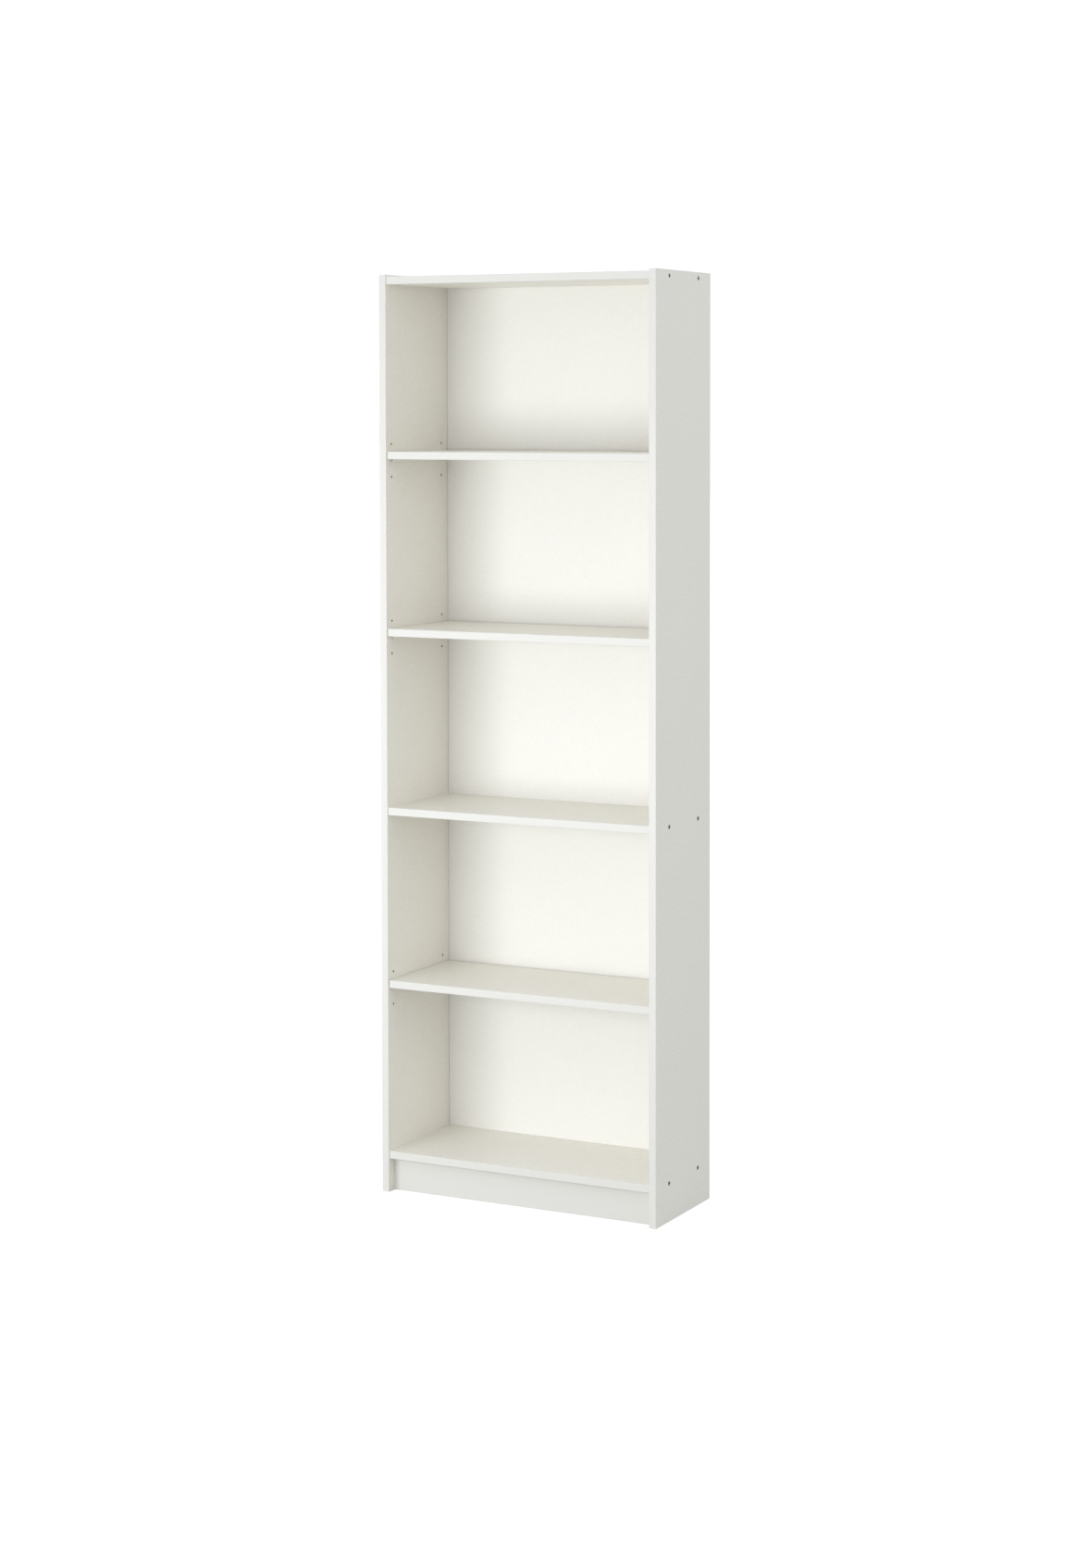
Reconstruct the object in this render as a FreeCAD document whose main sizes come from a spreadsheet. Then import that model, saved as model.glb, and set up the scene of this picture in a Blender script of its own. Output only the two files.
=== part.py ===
import FreeCAD, Part
import math
import os
import Sketcher

# A free-standing bookcase of foil-covered board. Two sides carry a top, a middle shelf, a bottom shelf
# and a plinth, a thin back panel is nailed on behind, and three more shelves lie on pins.
# Origin: centre of the footprint on the floor. -Y is the open front, +Z is up. Millimetres.

SIZES = (
    # alias, millimetres (or a count), what it is
    ("overall_width", 600, "outside of one side to outside of the other"),
    ("overall_depth", 240, "front of the sides to the rear of the back panel"),
    ("overall_height", 1800, "floor to the top of the sides"),
    ("board_thickness", 15, "every board but the back panel"),
    ("back_thickness", 3, "back panel"),
    ("edge_radius", 0.8, "rounding of the long front edges"),
    ("top_drop", 4, "top panel below the top of the sides"),
    ("front_setback", 3, "boards and shelves behind the front of the sides"),
    ("middle_height", 760, "upper face of the middle shelf"),
    ("bottom_height", 81, "upper face of the bottom shelf"),
    ("plinth_setback", 22, "plinth behind the front of the sides"),
    ("plinth_lift", 0, "plinth above the floor, nothing when it stands on it"),
    ("upper_shelf_height", 1456.5, "upper face of the first adjustable shelf"),
    ("centre_shelf_height", 1111, "upper face of the second adjustable shelf"),
    ("lower_shelf_height", 419.5, "upper face of the third adjustable shelf"),
    ("shelf_end_gap", 1, "adjustable shelf to each side"),
    ("shelf_back_gap", 2, "adjustable shelf to the back panel"),
    ("pin_inset", 20, "front row of pins behind the front of the sides"),
    ("pin_rear_inset", 25, "rear row of pins in front of the back panel"),
    ("pin_pitch", 32, "from one pin hole to the next spare one"),
    ("pin_radius", 2.45, "shank of a shelf pin"),
    ("pin_clearance", 0.05, "shank to the wall of its hole"),
    ("pin_shank", 9, "shank inside the side"),
    ("pin_hole_depth", 10, "blind hole for a pin"),
    ("pin_head_radius", 3.2, "head of a shelf pin, before its flat is cut"),
    ("pin_nose", 6, "length of the flat-topped head inside the bookcase"),
    ("pin_seat", 2.5, "flat of the nose above the axis of the pin"),
    ("screw_inset", 57, "front screws behind the front of the sides"),
    ("screw_rear_inset", 53, "rear screws in front of the rear of the case"),
    ("screw_length", 50, "head to tip"),
    ("screw_neck_radius", 3.5, "smooth neck inside the side"),
    ("screw_thread_radius", 2.6, "core inside the end of the board"),
    ("screw_head_radius", 4.5, "rim of the head, a cone of 90 degrees down to the neck"),
    ("screw_socket", 4, "hexagon socket across the flats"),
    ("screw_socket_depth", 3, "depth of the socket"),
    ("dowel_radius", 4, "wooden dowel"),
    ("dowel_in_side", 9, "dowel inside the side"),
    ("dowel_in_plinth", 20, "dowel inside the plinth"),
    ("dowel_spacing", 32, "between the two dowels of one end"),
    ("back_margin", 2, "back panel inside the outline of the case"),
    ("nail_radius", 0.7, "shank of a nail"),
    ("nail_length", 18, "head to tip"),
    ("nail_head_radius", 1.6, "head of a nail"),
    ("nail_head_depth", 0.8, "head sunk flush in the back panel"),
    ("nail_margin", 60, "last nail of a row to the edge of the back panel"),
)
SIDE_NAILS = 12
BOARD_NAILS = 4

# Derived sizes, as expressions over the sheet.
HALF_WIDTH = "(Sizes.overall_width / 2)"
FRONT = "(-Sizes.overall_depth / 2)"
CASE_DEPTH = "(Sizes.overall_depth - Sizes.back_thickness)"
INNER_WIDTH = "(Sizes.overall_width - 2 * Sizes.board_thickness)"
BOARD_DEPTH = f"({CASE_DEPTH} - Sizes.front_setback)"
TOP_FACE = "(Sizes.overall_height - Sizes.top_drop)"
BACK_BOTTOM = "(Sizes.bottom_height - Sizes.board_thickness + Sizes.back_margin)"
BACK_HEIGHT = f"({TOP_FACE} - Sizes.back_margin - {BACK_BOTTOM})"
BACK_WIDTH = "(Sizes.overall_width - 2 * Sizes.back_margin)"
PLINTH_HEIGHT = "(Sizes.bottom_height - Sizes.board_thickness - Sizes.plinth_lift)"
HALF_BOARD = "(Sizes.board_thickness / 2)"
SCREW_CONE = "(Sizes.screw_head_radius - Sizes.screw_neck_radius)"
SCREW_ROWS = ("Sizes.screw_inset", f"({CASE_DEPTH} - Sizes.screw_rear_inset)")
PIN_ROWS = (
    ("front", "Sizes.pin_inset"),
    ("rear", f"({CASE_DEPTH} - Sizes.pin_rear_inset)"),
)
FIXED_BOARDS = (
    ("top_panel", TOP_FACE),
    ("middle_shelf", "Sizes.middle_height"),
    ("bottom_shelf", "Sizes.bottom_height"),
)
LOOSE_SHELVES = (
    ("upper", "Sizes.upper_shelf_height"),
    ("centre", "Sizes.centre_shelf_height"),
    ("lower", "Sizes.lower_shelf_height"),
)

# Which way a piece drawn along +X points in the bookcase.
UPRIGHT = FreeCAD.Vector(0, 0, 1)
AHEAD = FreeCAD.Rotation()
ABOUT = FreeCAD.Rotation(UPRIGHT, 180)
TO_FRONT = FreeCAD.Rotation(UPRIGHT, -90)

doc = FreeCAD.newDocument("bookcase")


def make_sheet():
    """Writes the driving sizes as plain numbers, each under a word of its own."""
    sheet = doc.addObject("Spreadsheet::Sheet", "Sizes")
    for row, (alias, value, note) in enumerate(SIZES, start=1):
        sheet.set(f"A{row}", note)
        sheet.set(f"B{row}", str(value))
        sheet.setAlias(f"B{row}", alias)
    doc.recompute()


def place(thing, x, y, z):
    """Binds the thing's place to expressions."""
    for axis, expression in zip("xyz", (x, y, z)):
        thing.setExpression(f"Placement.Base.{axis}", expression)


def new_body(label, x="0", y="0", z="0"):
    """Makes an empty body whose own origin sits at x, y, z."""
    body = doc.addObject("PartDesign::Body", label)
    body.Label = label
    place(body, x, y, z)
    return body


def sketch_on(body, name, role, offset="0"):
    """Makes a sketch on one of the body's own planes, moved along the plane's normal by offset."""
    sketch = body.newObject("Sketcher::SketchObject", name)
    plane = [f for f in body.Origin.OriginFeatures if f.Role == role][0]
    sketch.AttachmentSupport = [(plane, "")]
    sketch.MapMode = "FlatFace"
    sketch.setExpression("AttachmentOffset.Base.z", offset)
    return sketch


def bind(sketch, constraint, expression):
    """Adds a driving constraint and ties its value to an expression."""
    index = sketch.addConstraint(constraint)
    sketch.setExpression(f"Constraints[{index}]", expression)


def outline(sketch, points):
    """Closes straight lines through points, each a pair of expressions measured from the origin."""
    count = len(points)
    corners = [(10.0 * math.cos(2 * math.pi * i / count), 10.0 * math.sin(2 * math.pi * i / count))
               for i in range(count)]
    vectors = [FreeCAD.Vector(x, y, 0) for x, y in corners]
    for i in range(count):
        sketch.addGeometry(Part.LineSegment(vectors[i], vectors[(i + 1) % count]))
    for i in range(count):
        sketch.addConstraint(Sketcher.Constraint("Coincident", i, 2, (i + 1) % count, 1))
    for i, (across, along) in enumerate(points):
        bind(sketch, Sketcher.Constraint("DistanceX", -1, 1, i, 1, corners[i][0]), across)
        bind(sketch, Sketcher.Constraint("DistanceY", -1, 1, i, 1, corners[i][1]), along)


def pad(body, name, sketch, length):
    """Raises the sketch to a length along its normal."""
    feature = body.newObject("PartDesign::Pad", name)
    feature.Profile = sketch
    feature.setExpression("Length", length)
    return feature


def new_board(label, corner, length, depth, height):
    """A plain board from its own corner: length along X, depth along Y, height along Z."""
    body = new_body(label, *corner)
    sketch = sketch_on(body, f"{label}_outline", "XY_Plane")
    outline(sketch, (("0", "0"), (length, "0"), (length, depth), ("0", depth)))
    pad(body, f"{label}_board", sketch, height)
    doc.recompute()
    return body


def round_front(body, along):
    """Rounds the two long edges of the front face, the ones that run along the given axis."""
    edges = []
    for number, edge in enumerate(body.Shape.Edges, start=1):
        ends = [body.Placement.inverse().multVec(v.Point) for v in edge.Vertexes]
        run = ends[1] - ends[0]
        if max(abs(end.y) for end in ends) < 1e-6 and abs(run[along]) > 0.5 * run.Length:
            edges.append(f"Edge{number}")
    board = body.Tip
    fillet = body.newObject("PartDesign::Fillet", f"{body.Name}_rounding")
    fillet.Base = (board, edges)
    fillet.setExpression("Radius", "Sizes.edge_radius")
    doc.recompute()


def left_end():
    """The face at the body's own x = 0, drilled towards +X."""
    return ("YZ_Plane", "0", True)


def right_end(length):
    """The face at the body's own x = length, drilled towards -X."""
    return ("YZ_Plane", length, False)


def rear_edge(depth):
    """The face at the body's own y = depth, drilled towards -Y."""
    return ("XZ_Plane", f"-{depth}", True)


def circles(body, name, face, centres, radius):
    """A sketch of equal circles on a face, at pairs of expressions."""
    sketch = sketch_on(body, name, face[0], face[1])
    for across, along in centres:
        circle = Part.Circle(FreeCAD.Vector(50, 50, 0), FreeCAD.Vector(0, 0, 1), 2.0)
        index = sketch.addGeometry(circle)
        bind(sketch, Sketcher.Constraint("DistanceX", -1, 1, index, 3, 50.0), across)
        bind(sketch, Sketcher.Constraint("DistanceY", -1, 1, index, 3, 50.0), along)
        bind(sketch, Sketcher.Constraint("Radius", index, 2.0), radius)
    return sketch


def must_shrink(body, before, name):
    """Stops when a cut took nothing away."""
    doc.recompute()
    if body.Shape.Volume > before - 1e-3:
        raise ValueError(f"{name} cuts nothing")


def drill(body, name, face, centres, radius, depth):
    """Blind round holes of one depth into a face."""
    before = body.Shape.Volume
    pocket = body.newObject("PartDesign::Pocket", name)
    pocket.Profile = circles(body, f"{name}_centres", face, centres, radius)
    pocket.setExpression("Length", depth)
    pocket.Reversed = face[2]
    must_shrink(body, before, name)


def countersink(body, name, face, centres):
    """Through holes for the case screws, each with a conical seat for the head."""
    before = body.Shape.Volume
    sketch = circles(body, f"{name}_centres", face, centres, "Sizes.screw_neck_radius")
    doc.recompute()
    hole = body.newObject("PartDesign::Hole", name)
    hole.Profile = sketch
    hole.Reversed = face[2]
    doc.recompute()
    hole.DepthType = "ThroughAll"
    hole.HoleCutType = "Countersink"
    hole.HoleCutCountersinkAngle = 90
    hole.setExpression("Diameter", "2 * Sizes.screw_neck_radius")
    hole.setExpression("HoleCutDiameter", "2 * Sizes.screw_head_radius")
    must_shrink(body, before, name)


def underside(height):
    """The lower face of a board whose upper face is at height."""
    return f"({height} - Sizes.board_thickness)"


def mid_board(height):
    """The middle of the thickness of a board whose upper face is at height."""
    return f"({height} - {HALF_BOARD})"


def pin_axis(height):
    """The axis of the pins under a shelf whose upper face is at height."""
    return f"({underside(height)} - Sizes.pin_seat)"


def dowel_heights():
    """Heights of the two dowels of one end of the plinth."""
    middle = f"(Sizes.plinth_lift + {PLINTH_HEIGHT} / 2)"
    return [f"({middle} {sign} Sizes.dowel_spacing / 2)" for sign in "-+"]


def spread(first, last, count):
    """Expressions for count places spaced evenly from first to last."""
    return [f"({first} + ({last} - {first}) * {i} / {count - 1})" for i in range(count)]


def side_nail_heights():
    """Heights of the nails along each side, from the floor."""
    low = f"({BACK_BOTTOM} + Sizes.nail_margin)"
    high = f"({BACK_BOTTOM} + {BACK_HEIGHT} - Sizes.nail_margin)"
    return spread(low, high, SIDE_NAILS)


def board_nail_places():
    """Places of the nails along a fixed board, from its left end."""
    return spread("Sizes.nail_margin", f"({INNER_WIDTH} - Sizes.nail_margin)", BOARD_NAILS)


def make_side(hand):
    """A side, with its screw seats, pin holes, dowel holes and nail holes."""
    label = f"side_panel_{hand}"
    corner_x = f"-{HALF_WIDTH}" if hand == "left" else f"({HALF_WIDTH} - Sizes.board_thickness)"
    body = new_board(label, (corner_x, FRONT, "0"), "Sizes.board_thickness", CASE_DEPTH,
                     "Sizes.overall_height")
    round_front(body, along=2)
    low_face, high_face = left_end(), right_end("Sizes.board_thickness")
    outer, inner = (low_face, high_face) if hand == "left" else (high_face, low_face)
    screws = [(row, mid_board(height)) for _, height in FIXED_BOARDS for row in SCREW_ROWS]
    countersink(body, f"{label}_screw_seats", outer, screws)
    pins = [(row, f"({pin_axis(height)} + {step} * Sizes.pin_pitch)")
            for _, height in LOOSE_SHELVES for _, row in PIN_ROWS for step in (-1, 0, 1)]
    drill(body, f"{label}_pin_holes", inner, pins, "(Sizes.pin_radius + Sizes.pin_clearance)",
          "Sizes.pin_hole_depth")
    dowels = [(f"(Sizes.plinth_setback + {HALF_BOARD})", height) for height in dowel_heights()]
    drill(body, f"{label}_dowel_holes", inner, dowels, "Sizes.dowel_radius", "Sizes.dowel_in_side")
    nails = [(HALF_BOARD, height) for height in side_nail_heights()]
    drill(body, f"{label}_nail_holes", rear_edge(CASE_DEPTH), nails, "Sizes.nail_radius",
          "(Sizes.nail_length - Sizes.back_thickness)")
    return body


def make_fixed_board(label, height):
    """A board screwed between the sides, drilled at both ends and along its rear edge."""
    corner = (f"-{INNER_WIDTH} / 2", f"({FRONT} + Sizes.front_setback)", underside(height))
    body = new_board(label, corner, INNER_WIDTH, BOARD_DEPTH, "Sizes.board_thickness")
    round_front(body, along=0)
    ends = [(f"({row} - Sizes.front_setback)", HALF_BOARD) for row in SCREW_ROWS]
    for name, face in (("left", left_end()), ("right", right_end(INNER_WIDTH))):
        drill(body, f"{label}_{name}_screw_holes", face, ends, "Sizes.screw_thread_radius",
              "(Sizes.screw_length - Sizes.board_thickness)")
    nails = [(across, HALF_BOARD) for across in board_nail_places()]
    drill(body, f"{label}_nail_holes", rear_edge(BOARD_DEPTH), nails, "Sizes.nail_radius",
          "(Sizes.nail_length - Sizes.back_thickness)")
    return body


def make_plinth():
    """The recessed board under the bottom shelf, doweled to both sides."""
    corner = (f"-{INNER_WIDTH} / 2", f"({FRONT} + Sizes.plinth_setback)", "Sizes.plinth_lift")
    body = new_board("plinth", corner, INNER_WIDTH, "Sizes.board_thickness", PLINTH_HEIGHT)
    round_front(body, along=0)
    ends = [(HALF_BOARD, f"({height} - Sizes.plinth_lift)") for height in dowel_heights()]
    for name, face in (("left", left_end()), ("right", right_end(INNER_WIDTH))):
        drill(body, f"plinth_{name}_dowel_holes", face, ends, "Sizes.dowel_radius",
              "Sizes.dowel_in_plinth")
    return body


def make_loose_shelf(label, height):
    """A shelf that only lies on its four pins."""
    corner = (f"(-{INNER_WIDTH} / 2 + Sizes.shelf_end_gap)", f"({FRONT} + Sizes.front_setback)",
              underside(height))
    body = new_board(label, corner, f"({INNER_WIDTH} - 2 * Sizes.shelf_end_gap)",
                     f"({BOARD_DEPTH} - Sizes.shelf_back_gap)", "Sizes.board_thickness")
    round_front(body, along=0)
    return body


def nail_places():
    """Places of all the nails in the finished bookcase, as x and z."""
    side_x = f"({HALF_WIDTH} - {HALF_BOARD})"
    places = [(f"{sign}{side_x}", height) for sign in ("-", "") for height in side_nail_heights()]
    for _, height in FIXED_BOARDS:
        places += [(f"({across} - {INNER_WIDTH} / 2)", mid_board(height))
                   for across in board_nail_places()]
    return places


def make_back_panel():
    """The thin back, with a hole and a flush seat for each nail."""
    corner = (f"-{BACK_WIDTH} / 2", f"({FRONT} + {CASE_DEPTH})", BACK_BOTTOM)
    body = new_board("back_panel", corner, BACK_WIDTH, "Sizes.back_thickness", BACK_HEIGHT)
    centres = [(f"({x} + {BACK_WIDTH} / 2)", f"({z} - {BACK_BOTTOM})") for x, z in nail_places()]
    rear = rear_edge("Sizes.back_thickness")
    drill(body, "back_panel_nail_holes", rear, centres, "Sizes.nail_radius", "Sizes.back_thickness")
    drill(body, "back_panel_nail_seats", rear, centres, "Sizes.nail_head_radius",
          "Sizes.nail_head_depth")
    return body


def turned(body, name, points):
    """Turns a half profile about the body's own X axis. Points are (along X, radius)."""
    sketch = sketch_on(body, f"{name}_profile", "XY_Plane")
    outline(sketch, points)
    revolution = body.newObject("PartDesign::Revolution", name)
    revolution.Profile = sketch
    revolution.ReferenceAxis = (sketch, ["H_Axis"])
    revolution.Angle = 360
    doc.recompute()
    return revolution


def make_pin(label, turn, x, y, z):
    """A shelf pin: a round shank in the side, then a head whose upper side is flat."""
    body = new_body(label, x, y, z)
    body.Placement.Rotation = turn
    points = (("-Sizes.pin_shank", "0"), ("Sizes.pin_nose", "0"),
              ("Sizes.pin_nose", "Sizes.pin_head_radius"), ("0", "Sizes.pin_head_radius"),
              ("0", "Sizes.pin_radius"), ("-Sizes.pin_shank", "Sizes.pin_radius"))
    turned(body, f"{label}_turning", points)
    flat = sketch_on(body, f"{label}_flat_outline", "XY_Plane", "Sizes.pin_seat")
    wide, reach = "Sizes.pin_head_radius", "(Sizes.pin_nose + Sizes.pin_head_radius)"
    outline(flat, (("0", f"-{wide}"), (reach, f"-{wide}"), (reach, wide), ("0", wide)))
    before = body.Shape.Volume
    pocket = body.newObject("PartDesign::Pocket", f"{label}_flat")
    pocket.Profile = flat
    pocket.Reversed = True
    pocket.setExpression("Length", wide)
    must_shrink(body, before, label)
    return body


def make_pins(name, height):
    """The four pins under one shelf."""
    pins = []
    for hand, sign, turn in (("left", "-", AHEAD), ("right", "", ABOUT)):
        for row, inset in PIN_ROWS:
            label = f"{name}_shelf_pin_{row}_{hand}"
            pins.append(make_pin(label, turn, f"{sign}{INNER_WIDTH} / 2", f"({FRONT} + {inset})",
                                 pin_axis(height)))
    return pins


def make_screw():
    """A case screw along +X: a countersunk head with a hexagon socket, a neck and a threaded part."""
    body = new_body("screw_pattern")
    points = (("0", "0"), ("Sizes.screw_length", "0"), ("Sizes.screw_length", "Sizes.screw_thread_radius"),
              ("Sizes.board_thickness", "Sizes.screw_thread_radius"),
              ("Sizes.board_thickness", "Sizes.screw_neck_radius"),
              (SCREW_CONE, "Sizes.screw_neck_radius"), ("0", "Sizes.screw_head_radius"))
    turned(body, "screw_turning", points)
    socket = sketch_on(body, "screw_socket_outline", "YZ_Plane")
    corner = "(Sizes.screw_socket / 2 / cos(30))"
    outline(socket, [(f"({corner} * cos({60 * i}))", f"({corner} * sin({60 * i}))") for i in range(6)])
    before = body.Shape.Volume
    pocket = body.newObject("PartDesign::Pocket", "screw_socket_cut")
    pocket.Profile = socket
    pocket.Reversed = True
    pocket.setExpression("Length", "Sizes.screw_socket_depth")
    must_shrink(body, before, "screw socket")
    return body


def make_nail():
    """A nail that lies along +X, its head at the body's own origin."""
    body = new_body("nail_pattern")
    points = (("0", "0"), ("Sizes.nail_length", "0"), ("Sizes.nail_length", "Sizes.nail_radius"),
              ("Sizes.nail_head_depth", "Sizes.nail_radius"),
              ("Sizes.nail_head_depth", "Sizes.nail_head_radius"), ("0", "Sizes.nail_head_radius"))
    turned(body, "nail_turning", points)
    return body


def group_of_links(label, pattern, places, rotations):
    """One node of separate solids: the pattern linked to each place."""
    links = []
    for number, ((x, y, z), rotation) in enumerate(zip(places, rotations), start=1):
        link = doc.addObject("App::Link", f"{label}_{number}")
        link.LinkedObject = pattern
        link.LinkTransform = False
        link.Placement = FreeCAD.Placement(FreeCAD.Vector(), rotation)
        place(link, x, y, z)
        links.append(link)
    group = doc.addObject("Part::Compound", label)
    group.Label = label
    group.Links = links
    return group


def make_screws(label, height, pattern):
    """The four screws of one fixed board."""
    places, rotations = [], []
    for sign, rotation in (("-", AHEAD), ("", ABOUT)):
        for row in SCREW_ROWS:
            places.append((f"{sign}{HALF_WIDTH}", f"({FRONT} + {row})", mid_board(height)))
            rotations.append(rotation)
    return group_of_links(label, pattern, places, rotations)


def make_nails(pattern):
    """All the nails of the back panel, driven in from behind."""
    places = [(x, f"(-{FRONT})", z) for x, z in nail_places()]
    return group_of_links("back_panel_nails", pattern, places, [TO_FRONT] * len(places))


def make_dowels():
    """The four wooden dowels between the plinth and the sides."""
    dowels = []
    across = f"({FRONT} + Sizes.plinth_setback + {HALF_BOARD})"
    for hand, start in (("left", f"(-{INNER_WIDTH} / 2 - Sizes.dowel_in_side)"),
                        ("right", f"({INNER_WIDTH} / 2 - Sizes.dowel_in_plinth)")):
        for number, height in enumerate(dowel_heights(), start=1):
            dowel = doc.addObject("Part::Cylinder", f"dowel_{hand}_{number}")
            dowel.setExpression("Radius", "Sizes.dowel_radius")
            dowel.setExpression("Height", "Sizes.dowel_in_side + Sizes.dowel_in_plinth")
            dowel.Placement = FreeCAD.Placement(FreeCAD.Vector(),
                                                FreeCAD.Rotation(FreeCAD.Vector(0, 1, 0), 90))
            place(dowel, start, across, height)
            dowels.append(dowel)
    group = doc.addObject("Part::Compound", "plinth_dowels")
    group.Label = "plinth_dowels"
    group.Links = dowels
    return group


def make_parts():
    """Builds every piece and returns the ones that become nodes."""
    parts = [make_side("left"), make_side("right")]
    parts += [make_fixed_board(label, height) for label, height in FIXED_BOARDS]
    parts += [make_plinth(), make_back_panel(), make_dowels()]
    for name, height in LOOSE_SHELVES:
        parts.append(make_loose_shelf(f"{name}_adjustable_shelf", height))
        parts += make_pins(name, height)
    screw = make_screw()
    parts += [make_screws(f"{label}_screws", height, screw) for label, height in FIXED_BOARDS]
    parts.append(make_nails(make_nail()))
    doc.recompute()
    return parts


def check(parts):
    """Stops when any object failed or any piece has no sound shape."""
    for thing in doc.Objects:
        if "Invalid" in thing.State or "Error" in thing.State:
            raise ValueError(f"{thing.Label} failed: {thing.State}")
    for part in parts:
        shape = part.Shape
        if shape.isNull() or not shape.isValid() or not shape.Solids:
            raise ValueError(f"{part.Label} has no sound shape")


def write(parts):
    """Writes each piece to its own file."""
    os.makedirs("parts", exist_ok=True)
    for part in parts:
        part.Shape.exportStep(f"parts/{part.Label}.step")


make_sheet()
pieces = make_parts()
check(pieces)
write(pieces)
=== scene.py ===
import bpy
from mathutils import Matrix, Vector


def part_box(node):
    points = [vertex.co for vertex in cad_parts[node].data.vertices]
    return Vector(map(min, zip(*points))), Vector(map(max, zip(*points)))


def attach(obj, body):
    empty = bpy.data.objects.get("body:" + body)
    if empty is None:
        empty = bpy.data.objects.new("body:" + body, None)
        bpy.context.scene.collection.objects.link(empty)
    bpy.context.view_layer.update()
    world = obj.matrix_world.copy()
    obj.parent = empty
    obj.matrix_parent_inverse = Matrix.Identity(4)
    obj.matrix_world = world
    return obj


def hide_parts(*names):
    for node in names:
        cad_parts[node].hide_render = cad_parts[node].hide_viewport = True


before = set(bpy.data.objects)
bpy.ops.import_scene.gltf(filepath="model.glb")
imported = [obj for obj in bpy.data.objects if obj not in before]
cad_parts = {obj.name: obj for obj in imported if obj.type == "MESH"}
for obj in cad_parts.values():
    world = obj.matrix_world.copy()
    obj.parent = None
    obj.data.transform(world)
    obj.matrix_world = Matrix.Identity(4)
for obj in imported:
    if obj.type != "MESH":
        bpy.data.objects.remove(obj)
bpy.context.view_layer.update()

import math

import bmesh
import bpy
from mathutils import Matrix, Vector

bl_info = {
    "name": "Bookcase with adjustable shelves",
    "version": (1, 0, 0),
    "blender": (4, 5, 0),
    "location": "3D View > Sidebar > Bookcase",
    "description": "Finishes a white bookcase: foil, hardboard, pins, screws, nails and a studio",
    "category": "Object",
}

MM = 0.001
CASE = "case"
FIXED_BOARDS = ("top_panel", "middle_shelf", "bottom_shelf")
SIDES = ("side_panel_left", "side_panel_right")
LOOSE_SHELVES = ("upper", "centre", "lower")

# How often the patterns repeat in a metre: streaks in the foil along X or Z, specks, and marks.
STREAKS_ALONG_X = (70.0, 900.0, 900.0)
STREAKS_ALONG_Z = (900.0, 900.0, 70.0)
SPECKLE = 190.0
TURNING_MARKS = 2600.0

# The stage. The light is a little blue because the foil is warm, and both lamps face one place.
LIGHT_TINT = (0.95, 0.975, 1.01)
ROOM_TINT = (0.955, 0.98, 1.01, 1.0)
AIM = (0.0, 0.0, 0.9)
FLOOR_SIZE = 80.0
SENSOR_WIDTH = 36.0

# ---------------------------------------------------------------- settings


def length(name, description, default):
    """A size in metres that a user may change."""
    return bpy.props.FloatProperty(name=name, description=description, default=default, min=0.0,
                                   precision=5, unit="LENGTH")


def colour(name, description, default):
    """A linear colour that a user may change."""
    return bpy.props.FloatVectorProperty(name=name, description=description, default=default,
                                         size=3, min=0.0, max=1.0, subtype="COLOR")


def share(name, description, default, top=1.0):
    """A plain number from nothing up to top."""
    return bpy.props.FloatProperty(name=name, description=description, default=default, min=0.0,
                                   max=top, subtype="FACTOR")


def several(name, description, default):
    """A whole number, two or more."""
    return bpy.props.IntProperty(name=name, description=description, default=default, min=2)


def power(name, description, default):
    """The power of a light."""
    return bpy.props.FloatProperty(name=name, description=description, default=default, min=0.0,
                                   unit="POWER")


def spot(name, description, default):
    """A place in the room."""
    return bpy.props.FloatVectorProperty(name=name, description=description, default=default,
                                         subtype="TRANSLATION")


def turn_of(name, description, degrees):
    """An angle, given in degrees."""
    return bpy.props.FloatProperty(name=name, description=description,
                                   default=math.radians(degrees), subtype="ANGLE")


class BookcaseBoardSettings(bpy.types.PropertyGroup):
    """Foil, edging and raw chipboard."""

    foil: colour("Foil", "Colour of the white foil on every board", (0.905, 0.881, 0.808))
    edging: colour("Edging", "Colour of the strip along the front edges", (0.775, 0.757, 0.708))
    foil_gloss: share("Foil roughness", "How matt the foil is", 0.40)
    emboss: share("Emboss", "Strength of the fine grain pressed into the foil", 0.28)
    # The rear line is partly the cut foil's edge and partly painted shade of the corner against the
    # back panel.
    rear_line_and_corner_shade: length("Rear line and corner shade", "Width of the dark line at the rear, cut foil with painted corner shade", 0.7 * MM)
    seam: length("Edging seam", "Front edge to the seam of the edging strip", 1.1 * MM)
    seam_width: length("Seam width", "Width of the seam line", 0.22 * MM)
    chip_light: colour("Light chips", "Palest chips in a cut edge", (0.66, 0.52, 0.35))
    chip_dark: colour("Dark chips", "Darkest chips in a cut edge", (0.24, 0.15, 0.075))
    chip_size: length("Chip size", "Size of one chip in a cut edge", 1.6 * MM)


class BookcaseBackSettings(bpy.types.PropertyGroup):
    """The thin back panel."""

    lacquer: colour("Lacquer", "White lacquer towards the shelves", (0.905, 0.889, 0.840))
    lacquer_gloss: share("Lacquer roughness", "How matt the lacquer is", 0.42)
    board: colour("Hardboard", "Bare brown fibre board on the rear", (0.235, 0.130, 0.062))
    mesh: length("Screen mark", "Pitch of the wire-screen pattern on the rear", 1.9 * MM)


class BookcaseMetalSettings(bpy.types.PropertyGroup):
    """Plating, steel and the wood of the dowels."""

    nickel: colour("Nickel", "Plating of the shelf pins", (0.80, 0.785, 0.74))
    zinc: colour("Zinc", "Plating of the case screws", (0.42, 0.42, 0.415))
    # The socket colour is painted shade: near black stands in for the shade inside the hexagon
    # recess.
    socket: colour("Socket", "Painted shade inside a screw's socket", (0.012, 0.012, 0.012))
    steel: colour("Nail steel", "Bright steel of the nails", (0.47, 0.46, 0.45))
    beech: colour("Beech", "Wood of the dowels", (0.60, 0.42, 0.25))


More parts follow.
